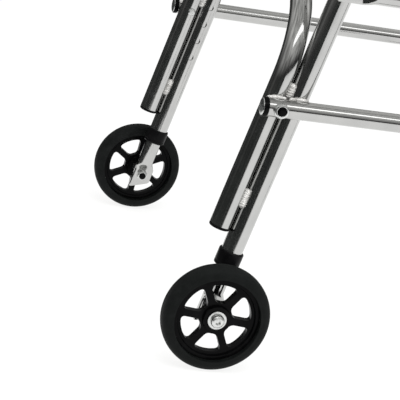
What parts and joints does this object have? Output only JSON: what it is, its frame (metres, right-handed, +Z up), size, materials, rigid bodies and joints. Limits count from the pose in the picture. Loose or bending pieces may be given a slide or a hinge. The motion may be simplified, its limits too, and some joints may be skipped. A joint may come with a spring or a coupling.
{
  "type": "walking frame",
  "caption": "Bright aluminium walking frame with spoked front wheels, paired front tubes, a welded hoop, telescopic legs, side rails, hand grips and rubber rear tips.",
  "frame": {"origin": "on the floor, under the middle of the frame's bounding box at rest", "axes": "+Z up; the closed, wheeled end faces -Y and the open end +Y; the user stands inside facing -Y, so the user's left is +X"},
  "size_m": [0.5932, 0.5558, 0.813],
  "materials": {
    "aluminium": "polished and clear anodised, bright reflections",
    "zinc": "bright zinc plate",
    "spring_steel": "tempered strip",
    "black_plastic": "moulded black, semi-gloss",
    "rubber": "dull black rubber",
    "grip_vinyl": "soft vinyl, fine ribs",
    "nylon": "natural nylon"
  },
  "bodies": {
    "frame": {"front_hoop": "aluminium", "upper_cross_tube": "aluminium", "left_side_frame": "aluminium", "left_lower_rail": "aluminium", "left_upper_rail": "aluminium", "left_hand_grip": "grip_vinyl", "left_rail_cap_front": "black_plastic", "left_rail_cap_rear": "black_plastic", "left_rail_rivet": "zinc", "left_rail_rivet_insert": "black_plastic", "left_hoop_plug": "black_plastic", "left_front_collar": "black_plastic", "left_rear_collar": "black_plastic", "left_upper_rail_bolt_front": "zinc", "left_upper_rail_bolt_rear": "zinc", "left_upper_rail_nut_front": "zinc", "left_upper_rail_nut_rear": "zinc", "right_side_frame": "aluminium", "right_lower_rail": "aluminium", "right_upper_rail": "aluminium", "right_hand_grip": "grip_vinyl", "right_rail_cap_front": "black_plastic", "right_rail_cap_rear": "black_plastic", "right_rail_rivet": "zinc", "right_rail_rivet_insert": "black_plastic", "right_hoop_plug": "black_plastic", "right_front_collar": "black_plastic", "right_rear_collar": "black_plastic", "right_upper_rail_bolt_front": "zinc", "right_upper_rail_bolt_rear": "zinc", "right_upper_rail_nut_front": "zinc", "right_upper_rail_nut_rear": "zinc"},
    "left_front_leg": {"left_front_stem": "aluminium", "left_front_spring": "spring_steel", "left_axle_bolt": "zinc", "left_axle_nut": "zinc", "left_axle_washer": "zinc", "left_axle_spacer": "zinc"},
    "left_wheel": {"left_tyre": "rubber", "left_wheel_rim": "black_plastic", "left_wheel_bush": "nylon"},
    "left_rear_leg": {"left_rear_stem": "aluminium", "left_rear_spring": "spring_steel", "left_rear_tip": "rubber"},
    "left_front_button_body": {"left_front_button": "zinc"},
    "left_rear_button_body": {"left_rear_button": "zinc"},
    "right_front_leg": {"right_front_stem": "aluminium", "right_front_spring": "spring_steel", "right_axle_bolt": "zinc", "right_axle_nut": "zinc", "right_axle_washer": "zinc", "right_axle_spacer": "zinc"},
    "right_wheel": {"right_tyre": "rubber", "right_wheel_rim": "black_plastic", "right_wheel_bush": "nylon"},
    "right_rear_leg": {"right_rear_stem": "aluminium", "right_rear_spring": "spring_steel", "right_rear_tip": "rubber"},
    "right_front_button_body": {"right_front_button": "zinc"},
    "right_rear_button_body": {"right_rear_button": "zinc"}
  },
  "joints": [
    {"name": "left_front_leg_slide", "type": "slide", "parent": "frame", "child": "left_front_leg", "axis": [0, -0.2096, -0.9778], "range_m": [0, 0.1524]},
    {"name": "left_wheel_spin", "type": "hinge", "parent": "left_front_leg", "child": "left_wheel", "pos_m": [0.28, -0.2145, 0.0635], "axis": [1, 0, 0], "continuous": true},
    {"name": "left_front_button_press", "type": "slide", "parent": "left_front_leg", "child": "left_front_button_body", "axis": [1, 0, 0], "range_m": [0, 0.0042], "stiffness_N_per_m": 1500, "springref_m": -0.003},
    {"name": "left_rear_leg_slide", "type": "slide", "parent": "frame", "child": "left_rear_leg", "axis": [0, 0.1045, -0.9945], "range_m": [0, 0.1524]},
    {"name": "left_rear_button_press", "type": "slide", "parent": "left_rear_leg", "child": "left_rear_button_body", "axis": [1, 0, 0], "range_m": [0, 0.0042], "stiffness_N_per_m": 1500, "springref_m": -0.003},
    {"name": "right_front_leg_slide", "type": "slide", "parent": "frame", "child": "right_front_leg", "axis": [0, -0.2096, -0.9778], "range_m": [0, 0.1524]},
    {"name": "right_wheel_spin", "type": "hinge", "parent": "right_front_leg", "child": "right_wheel", "pos_m": [-0.28, -0.2145, 0.0635], "axis": [1, 0, 0], "continuous": true},
    {"name": "right_front_button_press", "type": "slide", "parent": "right_front_leg", "child": "right_front_button_body", "axis": [-1, 0, 0], "range_m": [0, 0.0042], "stiffness_N_per_m": 1500, "springref_m": -0.003},
    {"name": "right_rear_leg_slide", "type": "slide", "parent": "frame", "child": "right_rear_leg", "axis": [0, 0.1045, -0.9945], "range_m": [0, 0.1524]},
    {"name": "right_rear_button_press", "type": "slide", "parent": "right_rear_leg", "child": "right_rear_button_body", "axis": [-1, 0, 0], "range_m": [0, 0.0042], "stiffness_N_per_m": 1500, "springref_m": -0.003}
  ]
}
